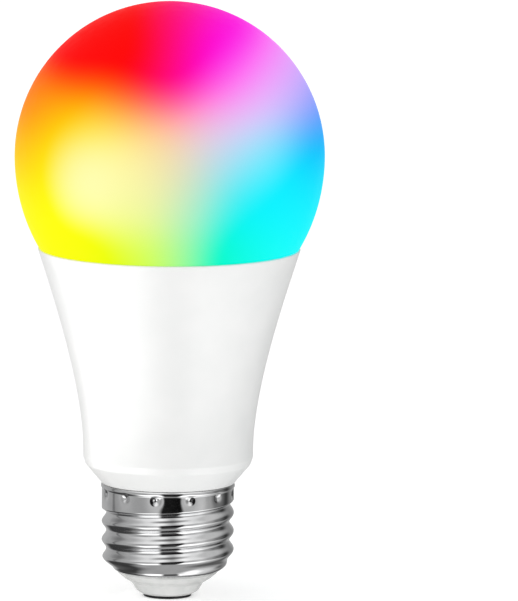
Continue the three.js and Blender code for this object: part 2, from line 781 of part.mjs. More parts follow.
function addDriver() {
  const bulk = { radius: 4, length: 13, x: -6.4, y: -5.5, bottomZ: 38 };
  const output = { radius: 3.2, length: 11.5, x: 5.6, y: -4.8, bottomZ: 42 };
  const inductor = { radius: 3.3, x: -9.2, y: 4.6, bottomZ: 29.5, topZ: 37.5 };
  const film = { x: 7.6, z: 30.9, width: 8.5, height: 7, depth: 4.4 };
  const surge = { x: 3.8, z: 20.6, radius: 3.75, depth: 2.9 };
  const fuse = { radius: 1.6, x: -4.2, y: 3, bottomZ: 16.2, topZ: 24.4 };
  piece("driver_board", driverBoard(), MATERIAL.greenBoard);
  piece("link_header", linkHeader(), MATERIAL.epoxy);
  piece("bulk_capacitor", electrolytic(bulk), MATERIAL.capacitorSleeve);
  piece("output_capacitor", electrolytic(output), MATERIAL.capacitorSleeve);
  piece("filter_inductor", filterInductor(inductor), MATERIAL.ferrite);
  addTransformer();
  piece("film_capacitor", filmCapacitor(film), MATERIAL.filmCapacitor);
  piece("varistor", varistor(surge), MATERIAL.varistor);
  piece("fusible_resistor", fusibleResistor(fuse), MATERIAL.resistor);

  onFrontFace(piece("bridge_rectifier", chipPackage(4.7, 3.9, 2.4, 2), MATERIAL.epoxy), -6, 31.5);
  onFrontFace(piece("power_ic", chipPackage(4.9, 3.9, 1.5, 4), MATERIAL.epoxy), 5.5, 33);
  onFrontFace(piece("output_diode", chipPackage(2.6, 4.3, 2.2, 1), MATERIAL.epoxy), 10.8, 47);
  [50, 54].forEach((z, i) => {
    const chip = block([-1.6, -0.8, 0], [1.6, 0.8, 0.6]);
    onFrontFace(piece(`sense_resistor_${i + 1}`, chip, MATERIAL.epoxy), -0.2, z);
  });
}

// ---------------------------------------------------------------- screw base

const smoothstep = (value, from, to) => THREE.MathUtils.smoothstep(value, from, to);

/** How far the thread lies under its crest, at a number of turns from a root: two equal arcs. */
function threadDepth(turns) {
  const { threadArc, pitch } = SHELL;
  const drop = (reach) => threadArc - Math.sqrt(threadArc ** 2 - reach ** 2);
  const offRoot = Math.abs(turns - Math.round(turns));
  if (offRoot > 0.25) return drop(pitch * (0.5 - offRoot));
  return 2 * drop(pitch / 4) - drop(pitch * offRoot);
}

/** The screw shell's outside radius at an angle from +X and a height. */
function shellRadius(angle, z) {
  const { crest, pitch, bottomZ, bottomRadius, shoulderZ, grooveZ, threadEndZ, lipZ, topZ } = SHELL;
  const belowShoulder = Math.max(0, (shoulderZ - z) / (shoulderZ - bottomZ));
  const barrel = crest - (crest - bottomRadius) * belowShoulder ** 2;
  const turns = (z - grooveZ) / pitch - (angle - Math.PI) / (2 * Math.PI);
  const runIn = smoothstep(z, bottomZ + 0.6, bottomZ + 3);
  const runOut = 1 - smoothstep(z, threadEndZ - 1.2, threadEndZ);
  const lip = z > lipZ && z < topZ ? SHELL.lipSwell : 0;
  return barrel - threadDepth(turns) * runIn * runOut + lip;
}

/** How far the sheet is punched in at an angle and height: one vertex deep at each dimple. */
function dimple(column, z) {
  const columnsApart = TURN_SEGMENTS / SHELL.dimples;
  return column % columnsApart === 0 && z === SHELL.dimpleZ ? SHELL.dimpleDepth : 0;
}

/** The nickel-plated screw shell: a thin sheet rolled into a round-crested right-hand thread. */
function screwShell() {
  const rowsPerTurn = 5;
  const lipRound = 0.2;
  const heights = [];
  for (let z = SHELL.bottomZ; z < SHELL.threadEndZ; z += SHELL.pitch / rowsPerTurn) heights.push(z);
  heights.push(SHELL.threadEndZ + 0.4, SHELL.dimpleZ, SHELL.lipZ, SHELL.lipZ + lipRound);
  heights.push(SHELL.topZ - lipRound, SHELL.topZ);

  // One loop of rows: up the outside, then down the inside.
  const rows = [
    ...heights.map((z) => ({ z, inset: 0 })),
    ...heights.map((z) => ({ z, inset: SHELL.sheet })).reverse(),
  ];
  const position = [];
  for (let column = 0; column < TURN_SEGMENTS; column++) {
    const angle = SHELL.dimpleStart + (2 * Math.PI * column) / TURN_SEGMENTS;
    for (const { z, inset } of rows) {
      const radius = shellRadius(angle, z) - inset - dimple(column, z);
      position.push(radius * Math.cos(angle), radius * Math.sin(angle), z);
    }
  }
  const index = [];
  for (let column = 0; column < TURN_SEGMENTS; column++) {
    const here = column * rows.length;
    const next = ((column + 1) % TURN_SEGMENTS) * rows.length;
    for (let row = 0; row < rows.length; row++) {
      const above = (row + 1) % rows.length;
      index.push(here + row, next + row, next + above);
      index.push(here + row, next + above, here + above);
    }
  }
  const geometry = new THREE.BufferGeometry();
  geometry.setAttribute("position", new THREE.Float32BufferAttribute(position, 3));
  geometry.setIndex(index);
  geometry.computeVertexNormals();
  return geometry;
}

/** The insulator: a dish in the shell's end, coned on the outside down to the centre contact. */
function capInsulator() {
  const hole = CONTACT.shank + 0.3;
  const bottom = CONTACT.thickness + 0.1;
  const profile = [
    [hole, bottom],
    [5, bottom],
    [6.05, 1.1],
    [7.15, 2.85],
    [8.6, 3.7],
    [9.8, 4.7],
    [9.8, 6],
    [11.2, 7.6],
    [11.2, 8.2],
    [9.8, 8.2],
    [5.2, 4.8],
    [hole, 4.8],
  ];
  return turnedRing(profile, SMALL_TURN_SEGMENTS);
}

/** The centre contact: a rivet whose flat head is the bulb's lowest point. */
function centreContact() {
  const { radius, flat, thickness, shank, bore, topZ } = CONTACT;
  const profile = [
    [0, 0],
    [flat, 0],
    [radius, 0.2],
    [radius, thickness],
    [shank, thickness],
    [shank, topZ],
    [bore, topZ],
    [bore, 1.2],
    [0, 1.2],
  ];
  return turned(profile, SMALL_TURN_SEGMENTS);
}

function addBase() {
  piece("screw_shell", screwShell(), MATERIAL.nickel);
  piece("cap_insulator", capInsulator(), MATERIAL.insulator);
  piece("centre_contact", centreContact(), MATERIAL.contact);

  const live = [
    [3.4, -1.5, 18.5],
    [3.2, -2, 15],
    [1.6, -1.4, 11.5],
    [0, 0, 8],
    [0, 0, 5],
    [0, 0, 1.7],
  ];
  piece("live_wire", wire(live, 0.55, 16), MATERIAL.redWire);

  // Folded out under the neck and up its groove, where the shell pinches it.
  const neutral = [
    [-3.4, -1.5, 18.5],
    [-3.8, -2, 15],
    [-6.4, -1.6, 11],
    [-8.8, -0.4, 9.2],
    [-10.4, 0, 9],
    [-11.05, 0, 10.2],
    [-11.05, 0, 14],
  ];
  piece("neutral_wire", wire(neutral, 0.32, 22), MATERIAL.whiteWire);
}

// ---------------------------------------------------------------- the bulb

piece("diffuser_dome", diffuserDome(), MATERIAL.diffuser);
piece("diffuser_seal", diffuserSeal(), MATERIAL.silicone);
piece("housing_shell", housingShell(), MATERIAL.housing);
addLedBoard();
addWifiModule();
addDriver();
addBase();

export default bulb;
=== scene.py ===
"""The finished look of a lit smart bulb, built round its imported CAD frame.

Lengths in this script are millimetres in the frame's own axes, and are turned to metres where
a mesh, the camera or a light is made. The bulb's axis is Z and its contact stands at z = 0.
"""

import json
import math

import bpy
from mathutils import Euler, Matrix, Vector


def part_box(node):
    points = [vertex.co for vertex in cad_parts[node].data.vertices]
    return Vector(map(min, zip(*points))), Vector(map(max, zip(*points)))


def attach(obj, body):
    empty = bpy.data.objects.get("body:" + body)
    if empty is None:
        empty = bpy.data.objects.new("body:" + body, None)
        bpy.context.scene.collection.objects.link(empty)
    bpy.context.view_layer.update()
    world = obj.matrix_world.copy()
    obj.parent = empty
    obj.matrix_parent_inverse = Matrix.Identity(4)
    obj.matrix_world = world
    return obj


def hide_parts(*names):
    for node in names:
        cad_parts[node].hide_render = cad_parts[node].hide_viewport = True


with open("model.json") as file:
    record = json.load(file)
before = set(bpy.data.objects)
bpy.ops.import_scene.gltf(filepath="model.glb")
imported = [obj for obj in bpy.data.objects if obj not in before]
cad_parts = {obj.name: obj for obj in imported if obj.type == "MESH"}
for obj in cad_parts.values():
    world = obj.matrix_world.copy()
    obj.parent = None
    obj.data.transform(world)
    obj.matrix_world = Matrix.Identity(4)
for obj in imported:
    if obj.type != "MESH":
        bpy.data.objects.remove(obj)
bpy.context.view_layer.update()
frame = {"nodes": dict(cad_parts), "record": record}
nodes = frame["nodes"]

MM = 0.001
ROUND = 2 * math.pi


# ---------------------------------------------------------------- sizes read from the frame


def node_box(node):
    """Lowest and highest corner of a CAD node, in millimetres."""
    low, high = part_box(node)
    return low / MM, high / MM


def radius_of(node):
    return node_box(node)[1].x


def bottom_of(node):
    return node_box(node)[0].z


def top_of(node):
    return node_box(node)[1].z


GLOBE_RADIUS = radius_of("diffuser_dome")
GLOBE_TOP = top_of("diffuser_dome")
GLOBE_MIDDLE = GLOBE_TOP - GLOBE_RADIUS
GLOBE_LOWER_AXIS = 33.5  # half the height of the ellipse that the lower half follows
GLOBE_WALL = 1.2
SKIRT_OUTER = 23.6
SKIRT_INNER = 22.4
SKIRT_BOTTOM = bottom_of("diffuser_dome")
BEAD_RADIUS = 23.95  # the snap bead round the skirt
BEAD_FOOT = (66.9, 67.7)  # lowest and highest edge of the bead on the skirt
BEAD_CREST = (67.1, 67.4)

RIM_RADIUS = radius_of("housing_shell")
RIM_TOP = top_of("housing_shell")
SEAM = RIM_TOP + 0.1
HOUSING_WALL = 1.4
WAIST_RADIUS = 16.75
WAIST_TOP = 29
WAIST_BOTTOM = 27.9
CHAMFER_RADIUS = 16.3
CHAMFER_TOP = 26.5
SHOULDER_RADIUS = 13.1
SHOULDER = 22.7
COLLAR_RADIUS = 12.4  # just under the shoulder, inside the cap's lip
CRIMP_RADIUS = 11.7  # the part of the neck that the cap's dimples grip
CRIMP_BOTTOM = 19.8
CRIMP_TOP = 22
NECK_OUTER = 11.4
NECK_INNER = 9.9
NECK_BOTTOM = bottom_of("housing_shell")
LEDGE = (12, 24.4)  # radius and height of the ledge that the driver board stands on
LEDGE_FOOT = 24
BORE_RADIUS = 24  # the rim's bore, which takes the globe's skirt
BORE_BOTTOM = 66.4
SNAP_RADIUS = 24.4  # the groove in the bore that takes the snap bead
SNAP_MIDDLE = 67.3
GUTTER_RADIUS = 24.7  # holds the silicone between the globe and the rim
GUTTER_BOTTOM = 68.2

SHELL_CREST = 13.05
SHELL_TOP = top_of("screw_shell")
SHELL_BOTTOM = bottom_of("screw_shell")
SHELL_BOTTOM_RADIUS = 10.4
SHELL_SHEET = 0.3
THREAD_PITCH = 25.4 / 7
THREAD_DEPTH = 0.9
THREAD_START = 6  # the thread can have its full depth above this height
THREAD_END = 19.6  # the plain band starts here
GROOVE_LEFT = 16.7  # height of the top root on the -X side
BOTTOM_ROOTS = (4.6, 7.4)  # the groove grows from nothing to full as its root climbs this far
TOP_ROOTS = (18.45, 19.15)  # and fades out again as its root climbs this far
SHELL_SHOULDER = 8.6  # the barrel turns in below this height
LIP_BOTTOM = 21.6
LIP_SWELL = 0.18
DIMPLE_COUNT = 12
DIMPLE_HEIGHT = 20.8
DIMPLE_START = math.radians(20)
DIMPLE_RADIUS = 0.7
DIMPLE_DEPTH = 0.45
DRAWN_RADIUS = 1.6  # the sheet round each dimple is drawn in with it
DRAWN_DEPTH = 0.1

CONTACT_RADIUS = radius_of("centre_contact")


# ---------------------------------------------------------------- mesh helpers


def finish_mesh(name, points, faces, sharp_degrees=38):
    """A smooth-shaded object from points in millimetres, with its hard edges kept sharp."""
    mesh = bpy.data.meshes.new(name)
    mesh.from_pydata([Vector(p) * MM for p in points], [], faces)
    mesh.validate()
    for polygon in mesh.polygons:
        polygon.use_smooth = True
    mesh.set_sharp_from_angle(angle=math.radians(sharp_degrees))
    piece = bpy.data.objects.new(name, mesh)
    bpy.context.scene.collection.objects.link(piece)
    return piece


def grid_faces(columns, rows, rows_close=True):
    """Quads over a grid of points stored column by column, closed round the columns."""
    faces = []
    for column in range(columns):
        here = column * rows
        there = (column + 1) % columns * rows
        for row in range(rows if rows_close else rows - 1):
            above = (row + 1) % rows
            faces.append((here + row, there + row, there + above, here + above))
    return faces


def turned(name, profile, segments=192):
    """A turned piece. The profile is (radius, height) up the outside and down the inside.

    It either closes on itself or starts and ends on the axis.
    """
    on_axis = profile[0][0] == 0
    ring = profile[1:-1] if on_axis else profile
    rows = len(ring)
    points = []
    for column in range(segments):
        angle = ROUND * column / segments
        points += [(r * math.cos(angle), r * math.sin(angle), z) for r, z in ring]
    faces = grid_faces(segments, rows, rows_close=not on_axis)
    if on_axis:
        first, last = len(points), len(points) + 1
        points += [(0, 0, profile[0][1]), (0, 0, profile[-1][1])]
        for column in range(segments):
            here = column * rows
            there = (column + 1) % segments * rows
            faces.append((first, there, here))
            faces.append((here + rows - 1, there + rows - 1, last))
    return finish_mesh(name, points, faces)


def rounded(corners, steps=5):
    """An outline with some corners rounded: each corner is (r, z) or (r, z, rounding radius)."""
    outline = []
    count = len(corners)
    for i, corner in enumerate(corners):
        if len(corner) == 2:
            outline.append(tuple(corner))
            continue
        point = Vector(corner[:2])
        before = Vector(corners[i - 1][:2]) - point
        after = Vector(corners[(i + 1) % count][:2]) - point
        half = before.angle(after) / 2
        reach = corner[2] / math.tan(half)
        start = point + before.normalized() * reach
        end = point + after.normalized() * reach
        for step in range(steps + 1):
            t = step / steps
            outline.append(tuple(start * (1 - t) ** 2 + point * 2 * t * (1 - t) + end * t * t))
    return outline


def smoothstep(value, low, high):
    """Goes smoothly from 0 at low to 1 at high."""
    t = min(max((value - low) / (high - low), 0), 1)
    return t * t * (3 - 2 * t)


def steps_between(low, high, count):
    return [low + (high - low) * i / count for i in range(count + 1)]


# ---------------------------------------------------------------- globe


def globe_radius(z):
    """Radius of the globe at a height at or under its equator."""
    drop = (GLOBE_MIDDLE - z) / GLOBE_LOWER_AXIS
    return GLOBE_RADIUS * math.sqrt(1 - drop * drop)


def globe_outline(inset, seam, lower_steps, upper_steps):
    """Points up one surface of the globe, from its seam to the top."""
    lowest = math.asin((GLOBE_MIDDLE - seam) / (GLOBE_LOWER_AXIS - inset))
    radius = GLOBE_RADIUS - inset
    lower_axis = GLOBE_LOWER_AXIS - inset
    outline = []
    for angle in steps_between(lowest, 0, lower_steps):
        outline.append((radius * math.cos(angle), GLOBE_MIDDLE - lower_axis * math.sin(angle)))
    for angle in steps_between(0, math.pi / 2, upper_steps)[1:-1]:
        outline.append((radius * math.cos(angle), GLOBE_MIDDLE + radius * math.sin(angle)))
    return [*outline, (0, GLOBE_MIDDLE + radius)]


def make_globe():
    """The globe and its skirt, from the top of the inside down and up to the top of the outside."""
    edge = 0.3  # rounding of the globe's edge at the seam
    inside = globe_outline(GLOBE_WALL, SEAM + GLOBE_WALL, 16, 24)[::-1]
    # The last corner only gives the direction in which the outside goes on.
    skirt = rounded(
        [
            (SKIRT_INNER, SKIRT_BOTTOM, 0.15),
            (SKIRT_OUTER, SKIRT_BOTTOM, 0.15),
            (SKIRT_OUTER, BEAD_FOOT[0]),
            (BEAD_RADIUS, BEAD_CREST[0], 0.1),
            (BEAD_RADIUS, BEAD_CREST[1], 0.1),
            (SKIRT_OUTER, BEAD_FOOT[1]),
            (SKIRT_OUTER, SEAM, 0.15),
            (globe_radius(SEAM), SEAM, edge),
            (globe_radius(SEAM + 1), SEAM + 1),
        ]
    )[:-1]
    outside = globe_outline(0, SEAM + 2 * edge, 30, 48)
    return turned("globe", [*inside, (SKIRT_INNER, SEAM), *skirt, *outside])


# ---------------------------------------------------------------- housing


def flank(inset, steps):
    """Points up the housing's flank: upright at the waist, flared where it meets the globe."""
    rim_slope = 0.303  # radius gained for each millimetre of height at the rim
    rim_handle = 6.3  # lengths of the Bezier curve's handles
    waist_handle = 13.5
    radii = (WAIST_RADIUS, WAIST_RADIUS, RIM_RADIUS - rim_slope * rim_handle, RIM_RADIUS)
    heights = (WAIST_TOP, WAIST_TOP + waist_handle, RIM_TOP - rim_handle, RIM_TOP)
    outline = []
    for t in steps_between(0, 1, steps):
        weights = ((1 - t) ** 3, 3 * t * (1 - t) ** 2, 3 * t * t * (1 - t), t**3)
        radius = sum(weight * r for weight, r in zip(weights, radii))
        height = sum(weight * z for weight, z in zip(weights, heights))
        outline.append((radius - inset, height))
    return outline


def make_housing():
    """The neck, shoulder and flank up the outside, then the rim's bore and down the inside."""
    lead = 0.2  # height of the small slopes on the neck and in the bore
    snap = 0.4  # half the height of the snap groove's floor
    base = rounded(
        [
            (NECK_INNER, NECK_BOTTOM),
            (NECK_OUTER, NECK_BOTTOM, 0.3),
            (NECK_OUTER, CRIMP_BOTTOM - lead),
            (CRIMP_RADIUS, CRIMP_BOTTOM),
            (CRIMP_RADIUS, CRIMP_TOP),
            (COLLAR_RADIUS, CRIMP_TOP + lead),
            (COLLAR_RADIUS, SHOULDER),
            (SHOULDER_RADIUS, SHOULDER, 0.2),
            (CHAMFER_RADIUS, CHAMFER_TOP, 0.9),
            (WAIST_RADIUS, WAIST_BOTTOM, 1.2),
            (WAIST_RADIUS, WAIST_TOP),
        ],
        steps=8,
    )
    outside = flank(0, 40)
    # The first corner only gives the direction from which the flank arrives.
    rim = rounded(
        [
            outside[-2],
            (RIM_RADIUS, RIM_TOP, 0.25),
            (GUTTER_RADIUS, RIM_TOP, 0.1),
            (GUTTER_RADIUS, GUTTER_BOTTOM),
            (BORE_RADIUS, GUTTER_BOTTOM),
            (BORE_RADIUS, SNAP_MIDDLE + snap + lead),
            (SNAP_RADIUS, SNAP_MIDDLE + snap),
            (SNAP_RADIUS, SNAP_MIDDLE - snap),
            (BORE_RADIUS, SNAP_MIDDLE - snap - lead),
            (BORE_RADIUS, BORE_BOTTOM),
        ]
    )[1:]
    inside = [point for point in flank(HOUSING_WALL, 30)[::-1] if point[1] < BORE_BOTTOM - snap]
    floor = [(WAIST_RADIUS - HOUSING_WALL, WAIST_BOTTOM), LEDGE, (NECK_INNER, LEDGE_FOOT)]
    return turned("housing", [*base, *outside[1:-1], *rim, *inside, *floor])


# ---------------------------------------------------------------- screw base


def thread_wave(off_root):
    """Depth below the crest at a number of turns from a root: a smooth wave."""
    return THREAD_DEPTH * (1 + math.cos(ROUND * off_root)) / 2


def groove_strength(root):
    """How fully the thread is formed where its root is at this height: it fades at both ends."""
    return smoothstep(root, *BOTTOM_ROOTS) * (1 - smoothstep(root, *TOP_ROOTS))


def groove_depth(angle, z):
    """Depth of the thread at a place. The top groove is steep where the plain band starts."""
    turns = (z - GROOVE_LEFT) / THREAD_PITCH - (angle - math.pi) / ROUND
    off_root = turns - round(turns)
    root = z - off_root * THREAD_PITCH
    if off_root > 0:
        steepness = 2 - groove_strength(root + THREAD_PITCH)
        off_root = min(0.5, off_root * steepness)
    return thread_wave(off_root) * groove_strength(root) * smoothstep(z, SHELL_BOTTOM, THREAD_START)


def shell_radius(angle, z):
    """The screw shell's outside radius, without its dimples and rolled lip."""
    below_shoulder = max(0, (SHELL_SHOULDER - z) / (SHELL_SHOULDER - SHELL_BOTTOM))
    barrel = SHELL_CREST - (SHELL_CREST - SHELL_BOTTOM_RADIUS) * below_shoulder**2
    return barrel - groove_depth(angle, z)


def dimple_depth(angle, z):
    """How far the sheet is punched in: a round pit in a wide, shallow hollow."""
    spacing = ROUND / DIMPLE_COUNT
    off = (angle - DIMPLE_START + spacing / 2) % spacing - spacing / 2
    distance = math.hypot(off * SHELL_CREST, z - DIMPLE_HEIGHT)
    pit = DIMPLE_DEPTH * math.exp(-((distance / DIMPLE_RADIUS) ** 2))
    return pit + DRAWN_DEPTH * math.exp(-((distance / DRAWN_RADIUS) ** 2))


def lip_swell(z):
    """The rolled lip at the top of the shell, which stands a little proud of the band."""
    half = (SHELL_TOP - LIP_BOTTOM) / 2
    across = (z - LIP_BOTTOM - half) / half
    return LIP_SWELL * max(0, 1 - across * across)


def lip_heights(count):
    """Heights up the rolled lip, closer together near its two edges."""
    height = SHELL_TOP - LIP_BOTTOM
    turns = steps_between(0, math.pi, count)[1:]
    return [LIP_BOTTOM + height * (1 - math.cos(turn)) / 2 for turn in turns]


def make_screw_shell():
    """The threaded sheet: every column goes up its outside and down its inside."""
    columns = DIMPLE_COUNT * 36
    thread = steps_between(SHELL_BOTTOM, THREAD_END, 100)
    band = steps_between(THREAD_END, LIP_BOTTOM, 16)[1:]
    heights = [*thread, *band, *lip_heights(10)]
    points = []
    for column in range(columns):
        angle = ROUND * column / columns
        outside = []
        for z in heights:
            outside.append((shell_radius(angle, z) - dimple_depth(angle, z) + lip_swell(z), z))
        inside = [(r - SHELL_SHEET - lip_swell(z), z) for r, z in outside][::-2]
        points += [(r * math.cos(angle), r * math.sin(angle), z) for r, z in outside + inside]
    return finish_mesh("screw_cap", points, grid_faces(columns, len(points) // columns))


def make_insulator():
    """Pressed glass: a stepped cone under the shell, and a flange that the shell's end holds."""
    bore = 1.7
    underside = 0.55
    seat = 9.8  # the shell's end closes round this radius
    flange = 11.2
    corners = [
        (bore, underside),
        (5, underside, 0.2),
        (6.05, 1.1, 0.9),
        (7.15, 2.85, 0.5),
        (8.6, 3.7, 2),
        (seat, 4.7, 0.3),
        (seat, 6),
        (flange, 7.6),
        (flange, 8.2),
        (seat, 8.2),
        (5.2, 4.8, 0.5),
        (bore, 4.8),
    ]
    return turned("insulator", rounded(corners, steps=8))


def make_contact():
    """A riveted eyelet: a flat head with a shallow dimple, and a hollow shank."""
    dimple = 0.12
    head_top = 0.5
    shank = 1.4
    hollow = 0.9
    shank_top = 6
    hollow_floor = 1.2
    corners = [
        (0, dimple),
        (1.6, dimple),
        (2.1, 0, 0.2),
        (CONTACT_RADIUS - 0.13, 0, 0.05),
        (CONTACT_RADIUS, 0.1, 0.05),
        (CONTACT_RADIUS, head_top),
        (shank, head_top),
        (shank, shank_top),
        (hollow, shank_top),
        (hollow, hollow_floor),
        (0, hollow_floor),
    ]
    return turned("contact", rounded(corners, steps=6), segments=128)


# ---------------------------------------------------------------- materials


def new_material(name):
    material = bpy.data.materials.new(name)
    material.use_nodes = True
    tree = material.node_tree
    return material, tree, tree.nodes["Principled BSDF"]


def add(tree, kind, **settings):
    node = tree.nodes.new(kind)
    for name, value in settings.items():
        setattr(node, name, value)
    return node


def object_point(tree):
    """The surface point in the frame's axes, in millimetres."""
    coordinates = add(tree, "ShaderNodeTexCoord")
    return scaled(tree, coordinates.outputs["Object"], 1 / MM)


def noise(tree, size, detail=2.0, roughness=0.5):
    """Noise with lumps about size millimetres across."""
    texture = add(tree, "ShaderNodeTexNoise")
    texture.inputs["Scale"].default_value = 1 / size
    texture.inputs["Detail"].default_value = detail
    texture.inputs["Roughness"].default_value = roughness
    tree.links.new(object_point(tree), texture.inputs["Vector"])
    return texture.outputs["Fac"]


def spread(tree, value, low, high):
    """Remaps the middle of a noise to run from low to high."""
    remap = add(tree, "ShaderNodeMapRange")
    remap.inputs["From Min"].default_value = 0.3
    remap.inputs["From Max"].default_value = 0.7
    remap.inputs["To Min"].default_value = low
    remap.inputs["To Max"].default_value = high
    tree.links.new(value, remap.inputs["Value"])
    return remap.outputs["Result"]


def connect(tree, value, socket):
    """Sets a socket to a number, a colour or a vector, or links another socket to it."""
    if isinstance(value, bpy.types.NodeSocket):
        tree.links.new(value, socket)
    elif socket.type == "RGBA":
        socket.default_value = (*value, 1)
    else:
        socket.default_value = value


def mixed(tree, factor, before, after):
    """Goes from one colour to the other as the factor goes from 0 to 1."""
    mix = add(tree, "ShaderNodeMix", data_type="RGBA")
    connect(tree, factor, mix.inputs["Factor"])
    connect(tree, before, mix.inputs["A"])
    connect(tree, after, mix.inputs["B"])
    return mix.outputs["Result"]


def two_tone(tree, value, dark, light):
    return mixed(tree, spread(tree, value, 0, 1), dark, light)


def bump(tree, shader, height, depth):
    """Bumps depth millimetres high."""
    node = add(tree, "ShaderNodeBump")
    node.inputs["Strength"].default_value = 1
    node.inputs["Distance"].default_value = depth * MM
    tree.links.new(height, node.inputs["Height"])
    tree.links.new(node.outputs["Normal"], shader.inputs["Normal"])


def vector_math(tree, operation, *inputs):
    node = add(tree, "ShaderNodeVectorMath", operation=operation)
    for socket, value in zip(node.inputs, inputs):
        connect(tree, value, socket)
    return node


def scaled(tree, vector, scale):
    node = vector_math(tree, "SCALE", vector)
    connect(tree, scale, node.inputs["Scale"])
    return node.outputs[0]


def scalar_math(tree, operation, *inputs):
    node = add(tree, "ShaderNodeMath", operation=operation)
    for socket, value in zip(node.inputs, inputs):
        connect(tree, value, socket)
    return node.outputs["Value"]


def drawn_noise(tree, fineness, size):
    """Noise stretched into lines: fineness says how much finer it is along each axis."""
    point = vector_math(tree, "MULTIPLY", object_point(tree), fineness).outputs[0]
    lines = add(tree, "ShaderNodeTexNoise")
    lines.inputs["Scale"].default_value = 1 / size
    lines.inputs["Detail"].default_value = 3
    tree.links.new(point, lines.inputs["Vector"])
    return lines.outputs["Fac"]


def plain_material(
    name, dark, light, roughness, metallic=0, tone_size=3.0, grain=0.4, grain_depth=0.003
):
    """A moulded, plated or sintered surface: two close tones, uneven gloss and a fine grain."""
    material, tree, shader = new_material(name)
    tone = noise(tree, tone_size, detail=3)
    tree.links.new(two_tone(tree, tone, dark, light), shader.inputs["Base Color"])
    gloss = spread(tree, noise(tree, tone_size * 0.6), roughness * 0.85, roughness * 1.15)
    tree.links.new(gloss, shader.inputs["Roughness"])
    shader.inputs["Metallic"].default_value = metallic
    bump(tree, shader, noise(tree, grain), grain_depth)
    return material


# The glow's colours, as the eye sees them, at places across the globe (from -1 at the left to 1
# at the right) and up it (0 at the middle, 1 at the top). Values past 0 and 1 make that colour's
# patch wider and purer.
GLOW = [
    ("crown_red", -0.35, 0.95, (1.05, -0.15, -0.1)),
    ("crown_rose", 0.0, 1.0, (1.05, -0.1, 0.45)),
    ("crown_magenta", 0.35, 0.9, (1.05, -0.1, 0.85)),
    ("shoulder_red", -0.65, 0.72, (1.1, -0.3, -0.2)),
    ("brow_red", -0.3, 0.65, (1.1, -0.12, -0.08)),
    ("brow_rose", 0.02, 0.62, (1.1, -0.3, 0.5)),
    ("brow_fuchsia", 0.35, 0.62, (1.05, 0.2, 0.95)),
    ("shoulder_fuchsia", 0.62, 0.68, (1.0, 0.58, 1.0)),
    ("rim_orange", -1.0, 0.45, (1.0, 0.3, -0.4)),
    ("cheek_orange", -0.75, 0.42, (1.0, 0.78, -0.2)),
    ("cheek_amber", -0.42, 0.42, (1.0, 0.98, 0.25)),
    ("cheek_salmon", -0.08, 0.35, (1.0, 0.85, 0.52)),
    ("cheek_pink", 0.25, 0.35, (1.0, 0.8, 0.9)),
    ("cheek_orchid", 0.55, 0.42, (0.93, 0.85, 1.0)),
    ("cheek_violet", 0.86, 0.45, (0.78, 0.7, 1.0)),
    ("rim_gold", -1.0, 0.1, (1.0, 0.76, -0.7)),
    ("waist_straw", -0.62, 0.08, (1.0, 0.98, 0.75)),
    ("waist_peach", -0.25, 0.05, (1.0, 0.98, 0.65)),
    ("centre_beige", 0.05, 0.05, (0.95, 0.85, 0.68)),
    ("waist_lilac", 0.35, 0.1, (0.68, 0.85, 0.98)),
    ("waist_sky", 0.65, 0.08, (0.42, 0.95, 1.0)),
    ("rim_iris", 1.05, 0.28, (0.35, 0.45, 1.0)),
    ("rim_azure", 1.0, 0.0, (-0.25, 0.86, 1.0)),
    ("rim_yellow", -1.0, -0.3, (1.0, 0.98, -0.6)),
    ("low_cream", -0.55, -0.15, (1.0, 1.0, 0.72)),
    ("low_sand", -0.18, -0.22, (0.95, 0.97, 0.6)),
    ("low_mint", 0.18, -0.22, (0.68, 0.93, 0.78)),
    ("low_aqua", 0.5, -0.22, (0.0, 0.95, 1.0)),
    ("rim_cyan", 0.92, -0.3, (-0.3, 0.95, 1.0)),
    ("hem_yellow", -0.6, -0.6, (0.98, 1.0, -0.3)),
    ("hem_lime", -0.2, -0.6, (0.85, 1.0, 0.2)),
    ("hem_green", 0.12, -0.6, (0.65, 0.97, 0.62)),
    ("hem_turquoise", 0.45, -0.6, (-0.35, 0.97, 0.85)),
    ("hem_cyan", 0.75, -0.6, (-0.2, 1.0, 1.0)),
]
GLOW_SPREAD = 0.26  # how far each colour reaches, as a share of the globe's radius


def glow_colour(tree):
    """The colour of the light through the globe: every glow colour blended by nearness."""
    centred = vector_math(tree, "SUBTRACT", object_point(tree), (0, 0, GLOBE_MIDDLE)).outputs[0]
    share = scaled(tree, centred, 1 / GLOBE_RADIUS)
    facing = vector_math(tree, "MULTIPLY", share, (1, 0, 1)).outputs[0]
    colour_sum = weight_sum = None
    for _, across, up, colour in GLOW:
        distance = vector_math(tree, "DISTANCE", facing, (across, 0, up)).outputs["Value"]
        distance_squared = scalar_math(tree, "MULTIPLY", distance, distance)
        falloff = scalar_math(tree, "DIVIDE", distance_squared, -(GLOW_SPREAD**2))
        weight = scalar_math(tree, "EXPONENT", falloff)
        weighted = scaled(tree, colour, weight)
        if colour_sum is None:
            colour_sum, weight_sum = weighted, weight
        else:
            colour_sum = vector_math(tree, "ADD", colour_sum, weighted).outputs[0]
            weight_sum = scalar_math(tree, "ADD", weight_sum, weight)
    blended = scaled(tree, colour_sum, scalar_math(tree, "DIVIDE", 1.0, weight_sum))
    not_dark = vector_math(tree, "MAXIMUM", blended, (0, 0, 0)).outputs[0]
    clipped = vector_math(tree, "MINIMUM", not_dark, (1, 1, 1)).outputs[0]
    to_light = add(tree, "ShaderNodeGamma")
    to_light.inputs["Gamma"].default_value = 2.2
    tree.links.new(clipped, to_light.inputs["Color"])
    return to_light.outputs["Color"]


